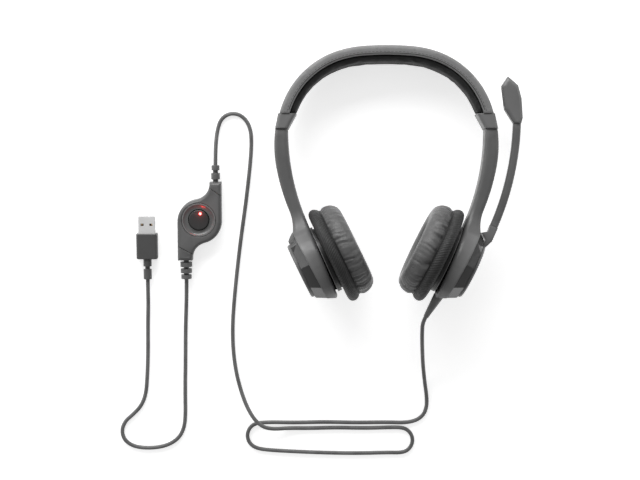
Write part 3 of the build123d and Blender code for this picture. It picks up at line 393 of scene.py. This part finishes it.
def plate_with_painted_rim_light(name, matrix):
    """The speaker's back plate: black plastic, darkened to near black as partly painted shade in the
    gap, with a painted highlight along its slanted lip.
    """
    shader = Shader(name)
    axes = cup_axes(shader, matrix)
    rise = shader.maths("MULTIPLY", axes.outputs["X"], RIM_LIGHT_RISE)
    height = shader.maths("ADD", axes.outputs["Z"], rise)
    # Painted highlight: a light grey band along the lip stands for the rim catching light. Below it
    # the plate is near black, partly its own black and partly painted shade.
    shader.colours(shader.spread(height, 0.0, 1.0, 0.95 * MM, 1.1 * MM), grey(0.003), grey(0.16))
    shader.rough(shader.spread(shader.noise(300, 4), 0.35, 0.5))
    shader.bumps((shader.noise(3000, 3), 0.02))
    return shader.material


RIBS = 112.0
RIB_SLANT = 2400.0


def ribbed_cloth(name, value, matrix):
    """Fine ribbed knit that runs slantwise round a cup's skirt."""
    shader = Shader(name)
    around = cup_axes(shader, matrix)
    angle = shader.maths("ARCTAN2", around.outputs["Y"], around.outputs["X"])
    along = shader.maths("MULTIPLY", around.outputs["Z"], RIB_SLANT)
    turn = shader.maths("MULTIPLY", angle, RIBS)
    first = shader.maths("SINE", shader.maths("ADD", turn, along), 0.0)
    cross = shader.maths("SINE", shader.maths("SUBTRACT", turn, along), 0.0)
    both = shader.maths("ADD", first, shader.maths("MULTIPLY", cross, 0.2))
    height = shader.spread(both, 0.0, 1.0, -1.2, 1.2)
    # Painted shade and light: the grooves between the ribs are painted darker and the crests lighter.
    shader.colours(height, grey(value * 0.45), grey(value * 1.6))
    shader.rough(shader.spread(shader.noise(500, 4), 0.5, 0.7))
    shader.bumps((height, 0.16), (shader.noise(5200, 2), 0.03))
    return shader.material


def metal(name, value, roughness=0.25, warmth=0.0, metallic=1.0):
    """Plated or drawn metal with fine scratches along one way."""
    shader = Shader(name, Metallic=metallic)
    scratches = shader.noise(900, 4, 0.7, shader.turned((0, 0, 0.3), (1, 14, 1)))
    broad = shader.spread(shader.noise(80, 3), 0.0, 1.0)
    shader.colours(broad, grey(value * 0.92, warmth), grey(value, warmth))
    shader.rough(shader.spread(scratches, roughness - 0.08, roughness + 0.1))
    shader.bumps((scratches, 0.004), soft_edge=0.15)
    return shader.material


def jacket(name, value):
    """The cords' soft extruded jacket: satin, a little uneven and fine-grained."""
    shader = Shader(name)
    broad = shader.spread(shader.noise(150, 4), 0.0, 1.0)
    shader.colours(broad, grey(value * 0.85), grey(value * 1.15))
    shader.rough(shader.spread(shader.noise(700, 4), 0.38, 0.55))
    shader.bumps((shader.noise(2400, 3), 0.02), (shader.noise(220, 2), 0.05))
    return shader.material


WEAVE_PITCH = 0.5


def woven(name, value):
    """Plain-weave acoustic cloth."""
    shader = Shader(name)
    step = 2 * pi / (WEAVE_PITCH * MM)
    split = shader.node("ShaderNodeSeparateXYZ")
    shader.link(shader.place, split.inputs["Vector"])
    first = shader.maths("SINE", shader.maths("MULTIPLY", split.outputs["Y"], step), 0.0)
    second = shader.maths("SINE", shader.maths("MULTIPLY", split.outputs["Z"], step), 0.0)
    height = shader.spread(shader.maths("MULTIPLY", first, second), 0.0, 1.0, -1.0, 1.0)
    # Painted shade and light: the weave's hollows are painted darker and its raised crossings lighter.
    shader.colours(height, grey(value * 0.6), grey(value * 1.4))
    shader.rough(shader.spread(shader.noise(900, 3), 0.8, 0.95))
    shader.bumps((height, 0.08))
    return shader.material


def film(name, value):
    """The thin domed film of a driver."""
    shader = Shader(name, Coat_Weight=0.5)
    shader.colours(shader.spread(shader.noise(120, 3), 0.0, 1.0), grey(value * 0.9), grey(value * 1.1))
    shader.rough(shader.spread(shader.noise(400, 3), 0.15, 0.3))
    shader.bumps((shader.noise(700, 2), 0.02))
    return shader.material


LED_PLACE = Vector((-137.5, -23.9, 10.3)) * MM


def lit_lens(name):
    """A red lens with a light behind its middle."""
    shader = Shader(name, Emission_Strength=1.6, Coat_Weight=0.6)
    away = shader.node("ShaderNodeVectorMath", operation="DISTANCE")
    away.inputs[1].default_value = LED_PLACE
    shader.link(shader.place, away.inputs[0])
    fall = shader.spread(away.outputs["Value"], 0.0, 1.0, 0.3 * MM, 1.05 * MM)
    glow = shader.colours(fall, (1.0, 0.7, 0.66), (0.9, 0.03, 0.03))
    shader.link(glow.outputs["Result"], shader.surface.inputs["Emission Color"])
    shader.rough(shader.spread(shader.noise(600, 2), 0.15, 0.3))
    return shader.material


def circuit(name):
    """Green solder mask over traces that show as a faint relief."""
    shader = Shader(name, Coat_Weight=0.3)
    traces = shader.spread(shader.cells(700), 0.0, 1.0, 0.02, 0.06)
    shader.colours(traces, (0.05, 0.22, 0.09), (0.01, 0.10, 0.04))
    shader.rough(shader.spread(shader.noise(500, 3), 0.25, 0.4))
    shader.bumps((traces, 0.03))
    return shader.material


FINISHES = {
    "band_shell": leatherette("band_wrap", 0.19, 0.32, 0.03, 2.6),
    "spring_steel": metal("spring_steel", 0.45, 0.3),
    "arm_plastic": moulded("arm_plastic", 0.105, 0.38, soft_edge=1.8),
    "gloss_cover": glossy("gloss_cover", 0.03),
    "inner_plastic": moulded("inner_plastic", 0.015, 0.6),
    "screw_steel": metal("screw_steel", 0.5, 0.35),
    "driver_metal": metal("driver_metal", 0.3, 0.4),
    "diaphragm_film": film("diaphragm_film", 0.3),
    "scrim_cloth": woven("scrim_cloth", 0.02),
    "mic_mesh": metal("mic_mesh", 0.06, 0.4),
    "cord_rubber": jacket("cord_jacket", 0.14),
    "remote_plastic": moulded("remote_plastic", 0.1, 0.42, soft_edge=0.8),
    "ring_plastic": glossy("ring_plastic", 0.12, 0.2),
    "button_plastic": glossy("button_plastic", 0.034, 0.3),
    "red_light": lit_lens("red_light"),
    "board": circuit("board"),
    "plug_mould": moulded("plug_mould", 0.075, 0.45),
    "plug_shell": metal("plug_shell", 0.92, 0.4, metallic=0.4),
    "plug_insert": moulded("plug_insert", 0.008, 0.6, 0.01),
    "contact_gold": metal("contact_gold", 0.75, 0.2, 0.35),
}
PAD_LEATHER = leatherette("pad_leather", 0.092, 0.34, 0.04)
WELT = jacket("welt_cord", 0.008)
BAND_CLOTH = leatherette("band_pad_cloth", 0.006, 0.7, 0.05)
THREAD = jacket("sewing_thread", 0.05)
# Near-black, almost unshiny foam: partly the collar's own black, partly painted shade in the gap
# behind each speaker.
FOAM_AND_GAP_SHADE = moulded("collar_foam_and_shade", 0.002, 0.95, 0.08, 0.0, Specular_IOR_Level=0.1)


def dressed(piece, finish):
    """Gives a piece one finish in place of what it had."""
    piece.data.materials.clear()
    piece.data.materials.append(finish)


SLOT_OF = {part["node"]: part["material_slot"] for part in frame["record"]["subparts"]}
for name, piece in nodes.items():
    if SLOT_OF[name] in FINISHES:
        dressed(piece, FINISHES[SLOT_OF[name]])
for side in SIDES:
    dressed(nodes[f"{side}_speaker_back_plate"], plate_with_painted_rim_light(f"{side}_back_plate", cup_matrix(side)))
for lead in (upper_lead, lower_lead):
    dressed(lead, FINISHES["cord_rubber"])

# ---------------------------------------------------------------- soft pieces

# Profiles are (radius, place along the cup's axis), in millimetres, round a closed outline.
CUSHION_OUTLINE = (
    (31.6, -9.4),
    (31.9, -12.3),
    (31.6, -15.5),
    (30.4, -19.2),
    (27.6, -22.0),
    (23.4, -23.2),
    (19.0, -22.0),
    (16.4, -19.2),
    (15.6, -15.5),
    (15.6, -11.8),
    (18.0, -11.2),
    (28.0, -9.8),
)
SKIRT_OUTLINE = (
    (24.0, -1.7),
    (29.6, -1.6),
    (32.4, -2.1),
    (34.1, -3.7),
    (34.5, -6.0),
    (33.7, -8.2),
    (32.1, -9.9),
    (30.0, -10.3),
    (27.6, -9.6),
    (27.5, -8.6),
    (23.0, -8.6),
    (22.8, -5.0),
)
SEAM_RADIUS = 31.4
SEAM_PLACE = -10.2
PIPING = 0.4
# The cushion's face is held at its back, and its wall's creases fade towards its crown.
HELD_PLACE = -11.6
CREASE_DEPTH = 1.35
CREASE_REACH = 8.0
CROWN_RADIUS = 20
WALL_RADIUS = 26


def mesh_piece(name, made, finish):
    """An object from a bmesh, shaded smooth."""
    mesh = bpy.data.meshes.new(name)
    made.to_mesh(mesh)
    made.free()
    mesh.shade_smooth()
    mesh.materials.append(finish)
    return placed(name, mesh)


def lathe(name, outline, finish, steps=140):
    """A closed skin turned about a cup's axis, in the cup's millimetres."""
    made = bmesh.new()
    rings = []
    for step in range(steps):
        angle = 2 * pi * step / steps
        ring = [(radius * cos(angle), radius * sin(angle), place) for radius, place in outline]
        rings.append([made.verts.new(point) for point in ring])
    count = len(outline)
    for near, far in zip(rings, rings[1:] + rings[:1]):
        for index in range(count):
            after = (index + 1) % count
            made.faces.new((near[index], near[after], far[after], far[index]))
    bmesh.ops.recalc_face_normals(made, faces=made.faces)
    return mesh_piece(name, made, finish)


def settle(piece):
    """Replaces a piece's mesh with what its modifiers make of it."""
    bpy.context.view_layer.update()
    finish = piece.data.materials[0]
    shown = piece.evaluated_get(bpy.context.evaluated_depsgraph_get())
    made = bpy.data.meshes.new_from_object(shown)
    piece.modifiers.clear()
    piece.data = made
    if not made.materials:
        made.materials.append(finish)
    made.shade_smooth()


def smoothed(piece, levels=1):
    """One or more subdivisions, applied."""
    piece.modifiers.new("smooth", "SUBSURF").levels = levels
    settle(piece)


# Cloth is blown up at ten times its size, where a millimetre is this long.
ENLARGED = 0.01
CLOTH_FRAMES = 20


def stuffed(piece, scale, voxel, held, cap, spare=0.05):
    """Remeshes a skin and blows it up as cloth from the points that are held.

    The scale takes the piece's own units to the enlarged ones. The voxel and the cap, the furthest
    that a point may move, are in millimetres, and spare is the share by which the skin is too large.
    """
    piece.data.transform(Matrix.Scale(scale, 4))
    remesh = piece.modifiers.new("remesh", "REMESH")
    remesh.mode = "VOXEL"
    remesh.voxel_size = voxel * ENLARGED
    settle(piece)
    start = [vertex.co.copy() for vertex in piece.data.vertices]
    group = piece.vertex_groups.new(name="held")
    group.add([index for index, place in enumerate(start) if held(place / scale)], 1.0, "REPLACE")
    cloth = piece.modifiers.new("cloth", "CLOTH")
    cloth.settings.quality = 6
    cloth.settings.tension_stiffness = 12
    cloth.settings.compression_stiffness = 12
    cloth.settings.shear_stiffness = 4
    cloth.settings.bending_stiffness = 0.4
    cloth.settings.use_pressure = True
    cloth.settings.uniform_pressure_force = 4
    cloth.settings.shrink_min = -spare
    cloth.settings.vertex_group_mass = "held"
    cloth.settings.effector_weights.gravity = 0
    for frame_number in range(1, CLOTH_FRAMES + 1):
        bpy.context.scene.frame_set(frame_number)
    settle(piece)
    bpy.context.scene.frame_set(1)
    limit = cap * ENLARGED
    for vertex, place in zip(piece.data.vertices, start):
        move = vertex.co - place
        if move.length > limit:
            vertex.co = place + move.normalized() * limit
    piece.data.transform(Matrix.Scale(1 / scale, 4))
    smoothed(piece)


def noise_round(angle, turns, height):
    """Smooth noise round the cup's axis, with more waves the larger turns is."""
    return noise.noise(Vector((cos(angle) * turns, sin(angle) * turns, height)))


def valley(value, sharpness):
    """1 where a value crosses 0, falling to 0 on both sides."""
    return (1 - min(1.0, abs(value) * sharpness)) ** 2


def crease(piece):
    """Presses soft radial creases into a cushion's wall, deepest at its seam and gone at its crown."""
    for vertex in piece.data.vertices:
        x, y, place = vertex.co
        radius = Vector((x, y)).length
        angle = atan2(y, x)
        angle += noise_round(angle, 2, place * 0.12) * 0.08
        fold = valley(noise_round(angle, 7, place * 0.03), 2.2)
        small = valley(noise_round(angle, 14, place * 0.05 + 7), 2.0)
        near_seam = exp(-(((place - SEAM_PLACE) / CREASE_REACH) ** 2))
        outer = min(1.0, max(0.0, (radius - CROWN_RADIUS) / (WALL_RADIUS - CROWN_RADIUS)))
        press = CREASE_DEPTH * (fold + 0.45 * small) * (0.25 + 0.75 * near_seam) * outer
        vertex.co.x -= press * x / radius
        vertex.co.y -= press * y / radius


def piping(name):
    """The thin cord sewn into the seam between a cushion's face and its skirt."""
    outline = []
    for step in range(8):
        angle = 2 * pi * step / 8
        outline.append((SEAM_RADIUS + PIPING * cos(angle), SEAM_PLACE + PIPING * sin(angle)))
    return lathe(name, outline, WELT, 220)


def ear_cushion(side):
    """A leatherette ring, a ribbed skirt behind it and the piping between them."""
    matrix = cup_matrix(side)
    face = lathe(f"{side}_cushion_face", CUSHION_OUTLINE, PAD_LEATHER)
    stuffed(face, ENLARGED, 1.7, lambda place: place.z > HELD_PLACE, 1.3)
    crease(face)
    knit = ribbed_cloth(f"{side}_skirt_cloth", 0.013, matrix)
    skirt = lathe(f"{side}_cushion_skirt", SKIRT_OUTLINE, knit)
    smoothed(skirt, 2)
    welt = piping(f"{side}_cushion_piping")
    for piece in (face, skirt, welt):
        piece.data.transform(matrix)
    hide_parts(f"{side}_ear_cushion")
    for piece in (face, skirt, welt):
        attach(piece, f"{side}_speaker")


for side in SIDES:
    ear_cushion(side)


GLUED = 1.1 * MM


def band_pad():
    """The band's padding, blown up a little from where it is glued to the shell."""
    piece = placed("band_padding", nodes["headband_pad"].data.copy())
    dressed(piece, BAND_CLOTH)
    shell = BVHTree.FromObject(nodes["headband_shell"], bpy.context.evaluated_depsgraph_get())
    stuffed(piece, ENLARGED / MM, 1.5, lambda place: shell.find_nearest(place)[3] < GLUED, 0.7, 0.02)
    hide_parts("headband_pad")
    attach(piece, "headband")


# The band's outer face in the head frame: its top, where its threads end, and half its arcs, each a
# radius in millimetres and an angle in degrees. The widths are (height, half the band's width there).
BAND_TOP = 66.5
BAND_END = 21.6
BAND_ARCS = ((200.0, 5.1), (71.1, 13.5), (59.7, 62.0))
BAND_WIDTHS = ((15.3, 10.2), (67.5, 14.0))
SEAM_DEPTH = 5.7
SEAM_THREAD = 0.22
STITCH_DEPTH = 4.7
STITCH_PITCH = 2.6
STITCH_LENGTH = 1.7
STITCH_THREAD = 0.16


def band_line(depth, face, step=1.0):
    """Points along the band at a depth from its outer face, on its front (1) or back (-1)."""
    half = []
    place, heading = Vector((0, BAND_TOP - depth)), 0.0
    for radius, angle in BAND_ARCS:
        turn = radians(angle)
        count = max(2, round((radius - depth) * turn / step))
        centre = place - Vector((sin(heading), cos(heading))) * (radius - depth)
        for index in range(count):
            now = heading + turn * index / count
            half.append(centre + Vector((sin(now), cos(now))) * (radius - depth))
        heading += turn
        place = centre + Vector((sin(heading), cos(heading))) * (radius - depth)
    half = [point for point in half if point.y > BAND_END]
    (low, narrow), (high, wide) = BAND_WIDTHS
    line = []
    for u, v in [(-u, v) for u, v in reversed(half[1:])] + [(u, v) for u, v in half]:
        line.append(head_point(u, v, face * (narrow + (wide - narrow) * (v - low) / (high - low))))
    return line


def thread(name, lines, radius, finish):
    """Thin round threads along lines of points, on the band."""
    curve = bpy.data.curves.new(name, "CURVE")
    curve.dimensions = "3D"
    curve.bevel_depth = 1.0
    curve.bevel_resolution = 3
    for line in lines:
        spline = curve.splines.new("POLY")
        spline.points.add(len(line) - 1)
        for point, place in zip(spline.points, line):
            point.co = (*place, 1.0)
            point.radius = radius * MM
    curve.materials.append(finish)
    piece = placed(name, curve)
    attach(piece, "headband")


def band_sewing():
    """The wrap's seam along its inner edge, with a row of stitches beside it, front and back."""
    seams = [band_line(SEAM_DEPTH, face) for face in (1, -1)]
    thread("band_seam", seams, SEAM_THREAD, FINISHES["inner_plastic"])
    stitches = []
    for face in (1, -1):
        line = band_line(STITCH_DEPTH, face, 0.2)
        travelled = 0.0
        stitch = [line[0]]
        for before, after in zip(line, line[1:]):
            travelled += (after - before).length / MM
            if travelled % STITCH_PITCH < STITCH_LENGTH:
                stitch.append(after)
            elif stitch:
                if len(stitch) > 2:
                    stitches.append(stitch)
                stitch = []
    thread("band_stitches", stitches, STITCH_THREAD, THREAD)


band_pad()
band_sewing()

# The profile of the foam collar that closes the gap behind each speaker. It stands straight on the
# speaker's back and slants more and more towards the housing's recess.
COLLAR_OUTLINE = (
    (19.4, 0.9),
    (20.6, 0.6),
    (22.2, 0.9),
    (22.3, 2.4),
    (21.7, 3.1),
    (22.3, 3.8),
    (22.3, 5.2),
    (19.4, 5.2),
)
COLLAR_START = 0.6
COLLAR_HEIGHT = 4.6
COLLAR_SLOPE = radians(3.4)


def collar(side):
    """A near-black foam collar between a housing's recess and the speaker's back, slanted like the
    rim. Its black is partly the foam's own colour and partly painted shade in the gap.
    """
    matrix = cup_matrix(side)
    piece = lathe(f"{side}_foam_collar", COLLAR_OUTLINE, FOAM_AND_GAP_SHADE, 96)
    smoothed(piece)
    for vertex in piece.data.vertices:
        stand = (vertex.co.z - COLLAR_START) / COLLAR_HEIGHT
        vertex.co.z -= vertex.co.x * stand * sin(COLLAR_SLOPE) + COLLAR_START * stand
    piece.data.transform(matrix)
    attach(piece, f"{side}_arm")
    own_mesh(piece)


for side in SIDES:
    collar(side)

# ---------------------------------------------------------------- light and floor

FLOOR = 8.0
FLOOR_GLOW = 0.6
# Each light's place, the point that it faces, its two sides and its power in watts.
STUDIO_LIGHTS = {
    "top_key": ((-0.3, 0.95, 0.55), (0, -0.05, 0), (1.3, 0.5), 13),
    "left_strip": ((-1.0, 0.35, 0.25), (0, 0, 0.03), (0.9, 0.3), 1.6),
    "right_strip": ((1.0, 0.35, 0.25), (0, 0, 0.03), (0.9, 0.3), 1.2),
}
HALO_POWER = 0.0009
HALO_SIZE = 0.8 * MM
HALO_HEIGHT = 1.3 * MM
STUDIO_GREY = 0.36


def floor_piece():
    """A plain pale table top under everything."""
    made = bpy.data.meshes.new("table_top")
    half = FLOOR / 2
    corners = [(-half, -half, 0), (half, -half, 0), (half, half, 0), (-half, half, 0)]
    made.from_pydata(corners, [], [(0, 1, 2, 3)])
    shader = Shader("table", Roughness=0.9, Emission_Color=(1, 1, 1, 1), Emission_Strength=FLOOR_GLOW)
    shader.colours(shader.spread(shader.noise(4, 2), 0.0, 1.0), grey(0.86), grey(0.89))
    made.materials.append(shader.material)
    placed("table_top", made)


def area_light(name, place, aim, size, power):
    """A large soft light that faces a point."""
    data = bpy.data.lights.new(name, "AREA")
    data.shape = "RECTANGLE"
    data.size, data.size_y = size
    data.energy = power
    turn = (Vector(place) - Vector(aim)).to_track_quat("Z", "Y").to_matrix().to_4x4()
    placed(name, data).matrix_world = Matrix.Translation(place) @ turn


def lens_halo():
    """The red light that the remote's lens throws on the ring round it."""
    data = bpy.data.lights.new("lens_halo", "POINT")
    data.energy = HALO_POWER
    data.color = (1.0, 0.05, 0.04)
    data.shadow_soft_size = HALO_SIZE
    placed("lens_halo", data).location = LED_PLACE + Vector((0, 0, HALO_HEIGHT))


def studio():
    """An even grey surround."""
    world = bpy.data.worlds.new("studio")
    world.use_nodes = True
    background = world.node_tree.nodes["Background"].inputs
    background["Color"].default_value = (1, 1, 1, 1)
    background["Strength"].default_value = STUDIO_GREY
    bpy.context.scene.world = world


floor_piece()
for name, light in STUDIO_LIGHTS.items():
    area_light(name, *light)
lens_halo()
studio()
bpy.context.scene.view_settings.view_transform = "Standard"
